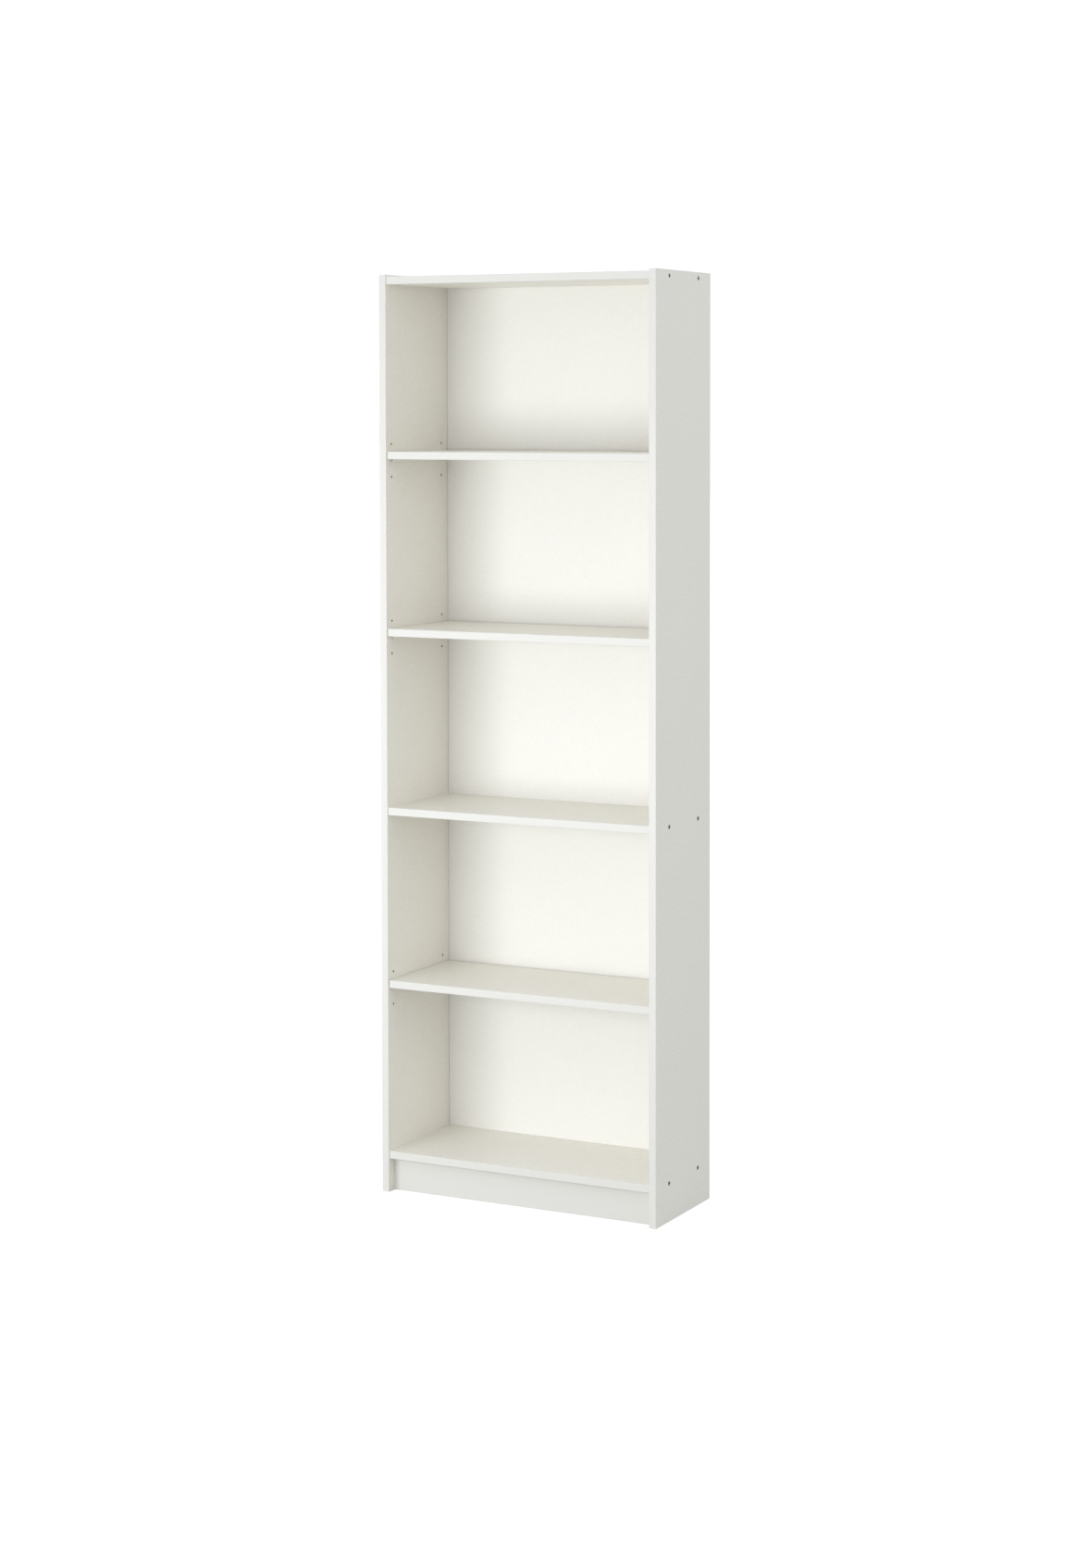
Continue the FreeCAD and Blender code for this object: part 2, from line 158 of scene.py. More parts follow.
class BookcaseFastenerSettings(bpy.types.PropertyGroup):
    """Sizes of the small parts, which fit the holes in the boards."""

    socket: length("Socket", "Hexagon socket of a screw, across the flats", 4 * MM)
    socket_depth: length("Socket depth", "Depth of the hexagon socket", 3 * MM)
    screw_length: length("Screw length", "Whole length of a screw", 50 * MM)
    neck_radius: length("Neck radius", "Smooth neck of a screw", 3.5 * MM)
    core_radius: length("Core radius", "Core of the screw's thread", 2.55 * MM)
    thread_height: length("Thread height", "Crest of the thread above its core", 0.8 * MM)
    thread_pitch: length("Thread pitch", "One turn of the thread", 3 * MM)
    nail_radius: length("Nail radius", "Shank of a nail", 0.7 * MM)
    nail_head: length("Nail head", "Thickness of a nail's head", 0.8 * MM)
    nail_head_radius: length("Nail head radius", "Radius of a nail's head", 1.6 * MM)
    nail_margin: length("Nail margin", "Last nail of a row to the edge of the panel", 60 * MM)
    side_nails: several("Side nails", "Nails along each side", 12)
    board_nails: several("Board nails", "Nails along each fixed board", 4)
    dowel_length: length("Dowel length", "Whole length of a dowel", 29 * MM)
    pin_radius: length("Pin radius", "Shank of a shelf pin", 2.45 * MM)
    pin_bevel: length("Pin bevel", "Rounding of a shelf pin's edges", 0.35 * MM)


class BookcaseStageSettings(bpy.types.PropertyGroup):
    """Floor, light and camera."""

    floor: colour("Floor", "Colour of the floor as it is seen", (0.60, 0.60, 0.60))
    floor_glow: share("Floor glow", "Light that keeps the floor pale in the shade", 0.62)
    floor_bounce: colour("Floor bounce", "Colour of the floor as it lights the bookcase",
                         (0.50, 0.50, 0.49))
    key_power: power("Key", "Power of the large soft light", 52.0)
    key_place: spot("Key place", "Centre of the soft light", (-1.0, -3.15, 0.82))
    key_width: length("Key width", "Width of the soft light", 2.0)
    key_height: length("Key height", "Height of the soft light", 1.35)
    side_power: power("Side light", "Power of the weak light at the right", 16.0)
    side_place: spot("Side place", "Centre of the side light", (4.0, -0.5, 1.5))
    side_size: length("Side size", "Width and height of the side light", 2.0)
    fill: share("Fill", "Brightness of the white room as it lights the bookcase", 0.84, top=4.0)
    backdrop: share("Backdrop", "Brightness of the white room as it is seen", 1.08, top=4.0)
    camera_place: spot("Camera", "Where the camera stands", (2.658, -4.936, 1.5416))
    camera_turn: turn_of("Turn", "Camera turned left of straight ahead", 26.253)
    camera_tilt: turn_of("Tilt", "Camera tilted down", 2.558)
    camera_lens: bpy.props.FloatProperty(name="Lens", description="Focal length in millimetres",
                                         default=66.322)
    camera_shift: bpy.props.FloatVectorProperty(name="Shift", default=(-0.0655, -0.1576), size=2,
                                                description="Lens shift, across and up")


# ---------------------------------------------------------------- node trees


class Value:
    """A number that flows out of a socket and can be used in sums."""

    def __init__(self, tree, socket):
        self.tree, self.socket = tree, socket

    def _sum(self, operation, *others):
        return self.tree.math(operation, self, *others)

    def __add__(self, other):
        return self._sum("ADD", other)

    def __sub__(self, other):
        return self._sum("SUBTRACT", other)

    def __mul__(self, other):
        return self._sum("MULTIPLY", other)

    def __rsub__(self, other):
        return self.tree.math("SUBTRACT", other, self)

    __radd__, __rmul__ = __add__, __mul__


class Tree:
    """A node tree with one method that adds any node."""

    def __init__(self, tree):
        self.tree = tree

    def node(self, kind, settings=None, **inputs):
        """Adds a node: its settings first, then its sockets, by name or by _number."""
        made = self.tree.nodes.new(kind)
        for key, value in (settings or {}).items():
            setattr(made, key, value)
        for key, value in inputs.items():
            socket = made.inputs[int(key[1:]) if key[0] == "_" else key.replace("_", " ")]
            if isinstance(value, Value):
                self.tree.links.new(value.socket, socket)
            elif isinstance(value, bpy.types.NodeSocket):
                self.tree.links.new(value, socket)
            else:
                socket.default_value = value
        return made

    def math(self, operation, *terms):
        """One Math node as a number."""
        inputs = {f"_{i}": term for i, term in enumerate(terms)}
        made = self.node("ShaderNodeMath", {"operation": operation}, **inputs)
        return Value(self, made.outputs[0])

    def smaller(self, *terms):
        """The smallest of several numbers."""
        least = terms[0]
        for term in terms[1:]:
            least = self.math("MINIMUM", least, term)
        return least

    def step(self, value, low, high):
        """0 below low, 1 above high, smooth in between."""
        made = self.node("ShaderNodeMapRange", {"interpolation_type": "SMOOTHSTEP"}, Value=value,
                         From_Min=low, From_Max=high)
        return Value(self, made.outputs[0])

    def line(self, value, centre, width):
        """1 on a line of the given width where value passes centre, 0 away from it."""
        away = self.math("ABSOLUTE", value - centre)
        return 1 - self.step(away, width * 0.25, width * 0.5)

    def mix(self, factor, one, other):
        """One colour turning into the other."""
        made = self.node("ShaderNodeMix", {"data_type": "RGBA"}, _0=factor, _6=one, _7=other)
        return made.outputs[2]

    def place(self):
        """Object coordinates, and their three parts."""
        where = self.node("ShaderNodeTexCoord").outputs["Object"]
        parts = self.node("ShaderNodeSeparateXYZ", Vector=where).outputs
        return where, [Value(self, part) for part in parts]

    def scaled(self, where, scale):
        """Coordinates stretched by three factors."""
        made = self.node("ShaderNodeVectorMath", {"operation": "MULTIPLY"}, _0=where, _1=scale)
        return made.outputs[0]

    def noise(self, where, scale, detail=2.0, roughness=0.5):
        """Soft noise from 0 to 1."""
        made = self.node("ShaderNodeTexNoise", Vector=where, Scale=scale, Detail=detail,
                         Roughness=roughness)
        return Value(self, made.outputs[0])

    def bump(self, height, strength, distance):
        """A surface normal raised by height."""
        made = self.node("ShaderNodeBump", Height=height, Strength=strength, Distance=distance)
        return made.outputs[0]


def rgba(colour_value, dim=1.0):
    """A linear colour with alpha, made darker by dim."""
    return (*[part * dim for part in colour_value], 1.0)


def new_material(name, **constants):
    """A material with one Principled shader, its fixed sockets set directly."""
    material = bpy.data.materials.new(name)
    material.use_nodes = True
    shader = material.node_tree.nodes["Principled BSDF"]
    for key, value in constants.items():
        shader.inputs[key.replace("_", " ")].default_value = value
    return material, Tree(material.node_tree), shader


def feed(tree, shader, **links):
    """Links what changes over the surface to the shader."""
    for key, value in links.items():
        socket = value.socket if isinstance(value, Value) else value
        tree.tree.links.new(socket, shader.inputs[key.replace("_", " ")])


# ---------------------------------------------------------------- finishes


def chipboard(tree, where, boards):
    """Colour and height of a cut edge: pressed chips of wood, coarse ones among fine ones."""
    size = 1.0 / boards.chip_size
    flat = tree.scaled(where, (0.55, 0.8, 1.0))
    warp = tree.node("ShaderNodeMix", {"data_type": "VECTOR"}, _0=0.0012, _4=flat,
                     _5=tree.node("ShaderNodeTexNoise", Vector=where, Scale=size * 0.6).outputs[1])
    chips = tree.node("ShaderNodeTexVoronoi", {"distance": "CHEBYCHEV"}, Vector=warp.outputs[1],
                      Scale=size, Randomness=1.0)
    parted = tree.node("ShaderNodeSeparateColor", Color=chips.outputs["Color"])
    tone = Value(tree, parted.outputs[0])
    gap = tree.step(Value(tree, chips.outputs["Distance"]), 0.32, 0.62)
    dust = tree.noise(where, size * 3.0, detail=4.0)
    light = tone * 0.75 + dust * 0.35 - gap * 0.35
    tint = tree.mix(light, rgba(boards.chip_dark), rgba(boards.chip_light))
    return tint, tone * 0.5 + dust * 0.5 - gap * 0.6


def cut_mask(tree, parts, node, raw_faces):
    """1 where a board shows its core, in its holes and on raw faces, and how far each face is."""
    low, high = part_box(node)
    faces = {}
    for axis, name in enumerate("xyz"):
        faces["-" + name] = parts[axis] - low[axis]
        faces["+" + name] = high[axis] - parts[axis]
    depth = tree.smaller(*faces.values())
    raw = tree.step(depth, 0.26 * MM, 0.34 * MM)
    for face in raw_faces:
        others = [value for name, value in faces.items() if name != face]
        flat = 1 - tree.step(faces[face], 0.02 * MM, 0.06 * MM)
        inner = tree.step(tree.smaller(*others), 0.25 * MM, 0.45 * MM)
        raw = tree.math("MAXIMUM", raw, flat * inner)
    return raw, faces


def foil_board(node, raw_faces, painted_brightening=1.0):
    """White foil pressed on chipboard, with an edging strip along the front and a raw core."""
    boards = bpy.context.scene.bookcase_boards
    material, tree, shader = new_material(f"foil_{node}", IOR=1.48)
    where, parts = tree.place()
    raw, faces = cut_mask(tree, parts, node, raw_faces)
    # The factor lightens or darkens all of the foil; on the plinth it is painted light set against
    # the shade under the bottom shelf.
    pale, bright = rgba(boards.foil, 0.84 * painted_brightening), rgba(boards.foil, 1.16 * painted_brightening)
    cloud = tree.noise(where, 5.0, detail=3.0)
    grain = tree.noise(tree.scaled(where, (1.0, 1.0, 0.55)), 1500.0, detail=3.0, roughness=0.6)
    swell = tree.noise(where, 90.0, detail=1.0)
    seam = tree.line(faces["-y"], boards.seam, boards.seam_width)
    stretch = STREAKS_ALONG_Z if node in SIDES else STREAKS_ALONG_X
    streak = tree.noise(tree.scaled(where, stretch), 1.0, detail=3.0, roughness=0.65)
    speckle = tree.noise(where, SPECKLE, detail=3.0)
    foil = tree.mix(cloud * 0.1 + streak * 0.35 + speckle * 0.55, pale, bright)
    edge = 1 - tree.step(faces["-y"], boards.seam * 0.9, boards.seam)
    foil = tree.mix(edge, foil, rgba(boards.edging))
    foil = tree.mix(seam * 0.30, foil, rgba(boards.foil, 0.45))
    # Dark line along the rear edge of every face: partly the cut edge of the foil, partly painted
    # shade standing in for the shadow in the corner against the back panel.
    cut_edge_and_corner_shade = 1 - tree.step(faces["+y"], boards.rear_line_and_corner_shade * 0.8, boards.rear_line_and_corner_shade * 1.2)
    foil = tree.mix(cut_edge_and_corner_shade * 0.85, foil, rgba(boards.chip_dark))
    chips, chip_height = chipboard(tree, where, boards)
    rough = (boards.foil_gloss - 0.05) + grain * 0.06 + cloud * 0.05 + seam * 0.15
    rough = rough * (1 - raw) + raw * 0.9
    pressed = grain * 0.25 + streak * 0.9 + swell * 0.35 - seam * 0.8
    height = pressed * (1 - raw) + raw * chip_height * 2.0
    feed(tree, shader, Base_Color=tree.mix(raw, foil, chips), Roughness=rough,
         Normal=tree.bump(height, boards.emboss, 0.12 * MM))
    return material


def back_board(node):
    """Hardboard: white lacquer towards the shelves, bare brown fibre with a screen mark behind."""
    back = bpy.context.scene.bookcase_back
    material, tree, shader = new_material("hardboard_back", IOR=1.48)
    where, parts = tree.place()
    low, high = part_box(node)
    bare = tree.step(parts[1] - low[1], 0.15 * MM, 0.30 * MM)
    cloud = tree.noise(where, 4.0, detail=3.0)
    fibre = tree.noise(tree.scaled(where, (1.0, 1.0, 0.45)), 900.0, detail=5.0, roughness=0.7)
    blotch = tree.noise(where, 22.0, detail=4.0)
    turn = 2 * math.pi / back.mesh
    weave = tree.math("SINE", parts[0] * turn) * tree.math("SINE", parts[2] * turn)
    mark = tree.step(weave, -0.2, 0.7)
    speckle = tree.noise(where, SPECKLE, detail=3.0)
    lacquer = tree.mix(cloud * 0.3 + speckle * 0.7,
                       rgba(back.lacquer, 0.94), rgba(back.lacquer, 1.06))
    brown = tree.mix(fibre * 0.55 + blotch * 0.45, rgba(back.board, 0.62), rgba(back.board, 1.5))
    brown = tree.mix(mark * 0.28, brown, rgba(back.board, 0.55))
    fine = tree.noise(where, 1300.0, detail=2.0)
    rough = (back.lacquer_gloss + fine * 0.05) * (1 - bare) + bare * 0.82
    height = fine * 0.05 * (1 - bare) + bare * (fibre * 0.8 + mark * 1.2)
    feed(tree, shader, Base_Color=tree.mix(bare, lacquer, brown), Roughness=rough,
         Normal=tree.bump(height, 0.25, 0.15 * MM))
    return material


def plated_steel(name, tint, rough, axis, dark=None):
    """Plated steel with fine turning marks round the given axis, painted near black as shade where
    the mask says so.
    """
    metal = bpy.context.scene.bookcase_metal
    material, tree, shader = new_material(name, Metallic=1.0)
    where, parts = tree.place()
    stretch = [60.0] * 3
    stretch[axis] = TURNING_MARKS
    turned = tree.noise(tree.scaled(where, stretch), 1.0, detail=3.0)
    spots = tree.noise(where, 420.0, detail=3.0)
    plating = tree.mix(spots, rgba(tint, 0.90), rgba(tint, 1.06))
    # Where the mask is 1 the plating gives way to the near-black socket colour: painted shade in a
    # recess.
    if dark:
        plating = tree.mix(dark(tree, parts), plating, rgba(metal.socket))
    feed(tree, shader, Base_Color=plating, Roughness=rough - 0.06 + turned * 0.12 + spots * 0.10,
         Normal=tree.bump(turned, 0.12, 0.03 * MM))
    return material


def beech():
    """Beech with its grain along the dowel and short dark flecks."""
    metal = bpy.context.scene.bookcase_metal
    material, tree, shader = new_material("beech_dowel", IOR=1.45)
    where = tree.place()[0]
    grain = tree.noise(tree.scaled(where, (40.0, 900.0, 900.0)), 1.0, detail=4.0, roughness=0.6)
    flecks = tree.step(tree.noise(tree.scaled(where, (300.0, 1600.0, 1600.0)), 1.0), 0.60, 0.72)
    tint = tree.mix(grain, rgba(metal.beech, 0.72), rgba(metal.beech, 1.15))
    feed(tree, shader, Base_Color=tree.mix(flecks * 0.5, tint, rgba(metal.beech, 0.45)),
         Roughness=0.62 + grain * 0.15, Normal=tree.bump(grain, 0.2, 0.05 * MM))
    return material


# ---------------------------------------------------------------- pieces


def dress(node, material):
    """Gives a CAD node its finish."""
    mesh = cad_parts[node].data
    mesh.materials.clear()
    mesh.materials.append(material)


def new_piece(name, mesh, body, replaced):
    """Puts a finished mesh in the scene in place of one CAD node."""
    piece = bpy.data.objects.new(name, mesh)
    bpy.context.scene.collection.objects.link(piece)
    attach(piece, body)
    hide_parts(replaced)
    return piece


def mesh_of(build, name):
    """The mesh that a building function leaves, with doubles merged and faces outwards."""
    shape = bmesh.new()
    build(shape)
    bmesh.ops.remove_doubles(shape, verts=shape.verts, dist=1e-6)
    bmesh.ops.recalc_face_normals(shape, faces=shape.faces)
    mesh = bpy.data.meshes.new(name)
    shape.to_mesh(mesh)
    shape.free()
    return mesh


def ring(shape, along, points):
    """Corners at one place along X, each given as (y, z)."""
    return [shape.verts.new((along, y, z)) for y, z in points]


def skin(shape, first, second):
    """Quads between two rings of as many corners."""
    count = len(first)
    for i in range(count):
        j = (i + 1) % count
        shape.faces.new((first[i], first[j], second[j], second[i]))


def tube(shape, rings):
    """A solid through a row of rings, closed at both ends."""
    for first, second in zip(rings, rings[1:]):
        skin(shape, first, second)
    shape.faces.new(rings[0])
    shape.faces.new(rings[-1])


def round_points(radius, count):
    """Points round a circle, as (y, z)."""
    angles = [2 * math.pi * i / count for i in range(count)]
    return [(radius * math.cos(a), radius * math.sin(a)) for a in angles]


def hexagon_points(across, count):
    """Points round a hexagon of the given width across its flats, as many as count."""
    points = []
    for i in range(count):
        angle = 2 * math.pi * i / count
        within = (angle + math.pi / 6) % (math.pi / 3) - math.pi / 6
        radius = across / 2 / math.cos(within)
        points.append((radius * math.cos(angle), radius * math.sin(angle)))
    return points


def threaded_ring(fasteners, along, count):
    """A section of the thread at one place along X: the core with one crest that turns."""
    points = []
    half_crest = 0.22  # of a turn
    for i in range(count):
        angle = 2 * math.pi * i / count
        phase = (along / fasteners.thread_pitch - i / count) % 1.0
        crest = max(0.0, 1.0 - abs(phase - 0.5) / half_crest)
        radius = fasteners.core_radius + fasteners.thread_height * crest
        points.append((radius * math.cos(angle), radius * math.sin(angle)))
    return points


def build_screw(shape, fasteners, head_radius, board):
    """A case screw along +X with its head at the origin and its neck as long as the board."""
    count, rings_per_turn = 48, 10
    neck, core, socket = fasteners.neck_radius, fasteners.core_radius, fasteners.socket
    total = fasteners.screw_length
    mouth, chamfer = 0.25 * MM, 0.4 * MM
    edge, edge_depth, taper = 0.15 * MM, 0.12 * MM, 0.8 * MM
    lead_in, run_out, point = 0.4 * MM, 2.4 * MM, 1.6 * MM
    rings = [
        ring(shape, fasteners.socket_depth, hexagon_points(socket * 0.98, count)),
        ring(shape, mouth, hexagon_points(socket, count)),
        ring(shape, 0.0, hexagon_points(socket + chamfer, count)),
        ring(shape, 0.0, round_points(head_radius - edge, count)),
        ring(shape, edge_depth, round_points(head_radius, count)),
        ring(shape, head_radius - neck, round_points(neck, count)),
        ring(shape, board - taper, round_points(neck, count)),
        ring(shape, board, round_points(core, count)),
    ]
    start, end = board + lead_in, total - run_out
    steps = int((end - start) / fasteners.thread_pitch * rings_per_turn)
    for i in range(steps + 1):
        along = start + (end - start) * i / steps
        rings.append(ring(shape, along, threaded_ring(fasteners, along, count)))
    rings.append(ring(shape, total - point, round_points(core * 0.9, count)))
    rings.append(ring(shape, total, round_points(core * 0.45, count)))
    tube(shape, rings)


def build_nail(shape, fasteners, total):
    """A nail along +X with a slightly domed head at the origin and a cut point."""
    count = 24
    shank, head = fasteners.nail_radius, fasteners.nail_head
    wide = fasteners.nail_head_radius
    dome = ((0.0, 0.80), (0.06 * MM, 0.94), (0.2 * MM, 1.0))
    point = 2.2 * MM
    rings = [ring(shape, along, round_points(wide * part, count)) for along, part in dome]
    rings += [
        ring(shape, head, round_points(wide, count)),
        ring(shape, head, round_points(shank, count)),
        ring(shape, total - point, round_points(shank, count)),
        ring(shape, total, round_points(shank * 0.12, count)),
    ]
    tube(shape, rings)


def build_pin(shape, shank, nose, shank_radius, head_radius, seat):
    """A shelf pin along +X: a chamfered shank, then a round head with a flat cut on top."""
    count = 48
    chamfer, chamfer_length = 0.5 * MM, 0.6 * MM
    flat = [(y, min(z, seat)) for y, z in round_points(head_radius, count)]
    tube(shape, [
        ring(shape, -shank, round_points(shank_radius - chamfer, count)),
        ring(shape, -shank + chamfer_length, round_points(shank_radius, count)),
        ring(shape, 0.0, round_points(shank_radius, count)),
        ring(shape, 0.0, flat),
        ring(shape, nose, flat),
    ])


def build_dowel(shape, radius, reach):
    """A fluted dowel along +X from the origin, with chamfered ends."""
    flutes, each = 16, 4
    chamfer, groove = 1.0 * MM, 0.955

    def section(size):
        """A circle with one point in every few drawn in."""
        points = round_points(size, flutes * each)
        return [(y, z) if i % each else (y * groove, z * groove)
                for i, (y, z) in enumerate(points)]

    tube(shape, [
        ring(shape, 0.0, section(radius - chamfer)),
        ring(shape, chamfer, section(radius)),
        ring(shape, reach - chamfer, section(radius)),
        ring(shape, reach, section(radius - chamfer)),
    ])


def hold(name, mesh):
    """A hidden object that carries a mesh into a node tree."""
    pattern = bpy.data.objects.new(name, mesh)
    bpy.context.scene.collection.objects.link(pattern)
    pattern.hide_render = True
    return pattern


def rows_tree(name, labels):
    """A geometry tree that sets copies of one object along rows. Each row has its own inputs."""
    group = bpy.data.node_groups.new(name, "GeometryNodeTree")
    sockets = group.interface
    sockets.new_socket("Geometry", in_out="INPUT", socket_type="NodeSocketGeometry")
    sockets.new_socket("Pattern", in_out="INPUT", socket_type="NodeSocketObject")
    sockets.new_socket("Material", in_out="INPUT", socket_type="NodeSocketMaterial")
    for label in labels:
        sockets.new_socket(f"{label} count", in_out="INPUT", socket_type="NodeSocketInt")
        sockets.new_socket(f"{label} start", in_out="INPUT", socket_type="NodeSocketVector")
        sockets.new_socket(f"{label} pitch", in_out="INPUT", socket_type="NodeSocketVector")
        sockets.new_socket(f"{label} turn", in_out="INPUT", socket_type="NodeSocketFloat")
    sockets.new_socket("Geometry", in_out="OUTPUT", socket_type="NodeSocketGeometry")
    tree = Tree(group)
    given = tree.node("NodeGroupInput").outputs
    pattern = tree.node("GeometryNodeObjectInfo", _0=given["Pattern"]).outputs["Geometry"]
    join = tree.node("GeometryNodeJoinGeometry")
    for label in labels:
        line = tree.node("GeometryNodeMeshLine", Count=given[f"{label} count"],
                         Start_Location=given[f"{label} start"], Offset=given[f"{label} pitch"])
        turn = tree.node("ShaderNodeCombineXYZ", Z=given[f"{label} turn"])
        copies = tree.node("GeometryNodeInstanceOnPoints", Points=line.outputs[0],
                           Instance=pattern, Rotation=turn.outputs[0])
        group.links.new(copies.outputs[0], join.inputs[0])
    solid = tree.node("GeometryNodeRealizeInstances", Geometry=join.outputs[0])
    painted = tree.node("GeometryNodeSetMaterial", Geometry=solid.outputs[0],
                        Material=given["Material"])
    tree.node("NodeGroupOutput", Geometry=painted.outputs[0])
    return group


def grown(name, group, values):
    """The plain mesh that a geometry tree makes from the given inputs."""
    carrier = bpy.data.objects.new(f"{name}_carrier", bpy.data.meshes.new(f"{name}_seed"))
    bpy.context.scene.collection.objects.link(carrier)
    modifier = carrier.modifiers.new("rows", "NODES")
    modifier.node_group = group
    for item in group.interface.items_tree:
        if item.in_out == "INPUT" and item.name in values:
            modifier[item.identifier] = values[item.name]
    seen = carrier.evaluated_get(bpy.context.evaluated_depsgraph_get())
    mesh = bpy.data.meshes.new_from_object(seen)
    mesh.name = name
    carrier.modifiers.clear()
    bpy.data.objects.remove(carrier)
    return mesh


def row(name, count, start, pitch, turn):
    """The inputs of one row of a rows tree."""
    return {f"{name} count": count, f"{name} start": start, f"{name} pitch": pitch,
            f"{name} turn": turn}


# ---------------------------------------------------------------- operators


class BOOKCASE_OT_boards(bpy.types.Operator):
    """Covers the boards and shelves in white foil, with raw chipboard where they are cut"""

    bl_idname = "bookcase.boards"
    bl_label = "Finish the boards"

    def execute(self, context):
        for node in SIDES:
            dress(node, foil_board(node, ("+y", "-z")))
        for node in FIXED_BOARDS:
            dress(node, foil_board(node, ("+y", "-x", "+x")))
        # The plinth's foil is painted 5% lighter to make up for the shade under the overhanging
        # bottom shelf.
        dress("plinth", foil_board("plinth", ("+y", "-x", "+x"), painted_brightening=1.05))
        for name in LOOSE_SHELVES:
            node = f"{name}_adjustable_shelf"
            dress(node, foil_board(node, ("+y",)))
        return {"FINISHED"}


class BOOKCASE_OT_back(bpy.types.Operator):
    """Lacquers the back panel on one side and leaves bare hardboard on the other"""

    bl_idname = "bookcase.back"
    bl_label = "Finish the back panel"

    def execute(self, context):
        dress("back_panel", back_board("back_panel"))
        return {"FINISHED"}


class BOOKCASE_OT_pins(bpy.types.Operator):
    """Makes the twelve shelf pins, each on a body of its own"""

    bl_idname = "bookcase.pins"
    bl_label = "Make the shelf pins"

    def execute(self, context):
        metal, fasteners = context.scene.bookcase_metal, context.scene.bookcase_fasteners
        steel = plated_steel("nickel_pin", metal.nickel, rough=0.24, axis=0)
        for shelf in LOOSE_SHELVES:
            for place in ("front", "rear"):
                for hand, side in (("left", -1), ("right", 1)):
                    node = f"{shelf}_shelf_pin_{place}_{hand}"
                    mesh = self.pin(node, side, fasteners)
                    mesh.materials.append(steel)
                    piece = new_piece(f"{shelf}_pin_{place}_{hand}", mesh, node, node)
                    bevel = piece.modifiers.new("rounding", "BEVEL")
                    bevel.width, bevel.segments = fasteners.pin_bevel, 2
                    bevel.angle_limit = math.radians(40)
        return {"FINISHED"}

    @staticmethod
    def pin(node, side, fasteners):
        """One pin's mesh in its place: its shank in the side panel, its head under the shelf."""
        low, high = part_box(node)
        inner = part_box("side_panel_right")[0].x
        head = (high.y - low.y) / 2
        axis = low.z + head
        tip, end = (high.x, low.x) if side < 0 else (low.x, high.x)
        mesh = mesh_of(lambda shape: build_pin(
            shape, abs(abs(end) - inner), abs(abs(tip) - inner), fasteners.pin_radius, head,
            high.z - axis), f"{node}_mesh")
        turn = Matrix.Rotation(math.pi if side > 0 else 0.0, 4, "Z")
        centre = (side * inner, (low.y + high.y) / 2, axis)
        mesh.transform(Matrix.Translation(centre) @ turn)
        return mesh


class BOOKCASE_OT_screws(bpy.types.Operator):
    """Makes the screws that hold the fixed boards, four to a board"""

    bl_idname = "bookcase.screws"
    bl_label = "Make the case screws"

    def execute(self, context):
        metal, fasteners = context.scene.bookcase_metal, context.scene.bookcase_fasteners
        inside, outside = (corner.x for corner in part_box("side_panel_right"))

        def socket(tree, parts):
            """1 inside the sockets, from just under the heads' faces down to their floors, where
            the screw is painted near black as the shade in its sockets.
            """
            depth, floor = outside - tree.math("ABSOLUTE", parts[0]), fasteners.socket_depth
            below = tree.step(depth, floor + 0.02 * MM, floor + 0.1 * MM)
            return tree.step(depth, 0.05 * MM, 0.25 * MM) * (1 - below)

        # The zinc screws carry painted shade: their sockets are near black.
        zinc = plated_steel("zinc_screw", metal.zinc, rough=0.34, axis=0, dark=socket)
        group = rows_tree("screw_rows", ("Left", "Right"))
        for node in FIXED_BOARDS:
            low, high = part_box(f"{node}_screws")
            head = (high.z - low.z) / 2
            pattern = hold("screw_pattern", mesh_of(
                lambda shape: build_screw(shape, fasteners, head, outside - inside),
                "screw_pattern"))
            first, last = low.y + head, high.y - head
            pitch = (0.0, last - first, 0.0)
            middle = (low.z + high.z) / 2
            values = {"Pattern": pattern, "Material": zinc}
            values.update(row("Left", 2, (low.x, first, middle), pitch, 0.0))
            values.update(row("Right", 2, (high.x, first, middle), pitch, math.pi))
            new_piece(f"{node}_case_screws", grown(f"{node}_case_screws", group, values), CASE,
                      f"{node}_screws")
            bpy.data.objects.remove(pattern)
        return {"FINISHED"}


class BOOKCASE_OT_nails(bpy.types.Operator):
    """Makes the nails round the back panel and across it at each fixed board"""

    bl_idname = "bookcase.nails"
    bl_label = "Make the nails"

    def execute(self, context):
        metal, fasteners = context.scene.bookcase_metal, context.scene.bookcase_fasteners
        steel = plated_steel("nail_steel", metal.steel, rough=0.38, axis=1)
        low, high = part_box("back_panel_nails")
        panel_low, panel_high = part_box("back_panel")
        head = fasteners.nail_head_radius
        pattern = hold("nail_pattern", mesh_of(
            lambda shape: build_nail(shape, fasteners, high.y - low.y), "nail_pattern"))
        turn, rear = -math.pi / 2, high.y
        bottom, top = panel_low.z + fasteners.nail_margin, panel_high.z - fasteners.nail_margin
        rise = (0.0, 0.0, (top - bottom) / (fasteners.side_nails - 1))
        values = {"Pattern": pattern, "Material": steel}
        values.update(row("Left", fasteners.side_nails, (low.x + head, rear, bottom), rise, turn))
        values.update(row("Right", fasteners.side_nails, (high.x - head, rear, bottom), rise, turn))
        for node in FIXED_BOARDS:
            board_low, board_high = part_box(node)
            start = board_low.x + fasteners.nail_margin
            pitch = (board_high.x - fasteners.nail_margin - start) / (fasteners.board_nails - 1)
            middle = (board_low.z + board_high.z) / 2
            values.update(row(node, fasteners.board_nails, (start, rear, middle),
                              (pitch, 0.0, 0.0), turn))
        group = rows_tree("nail_rows", ("Left", "Right", *FIXED_BOARDS))
        new_piece("panel_nails", grown("panel_nails", group, values), CASE,
                  "back_panel_nails")
        bpy.data.objects.remove(pattern)
        return {"FINISHED"}


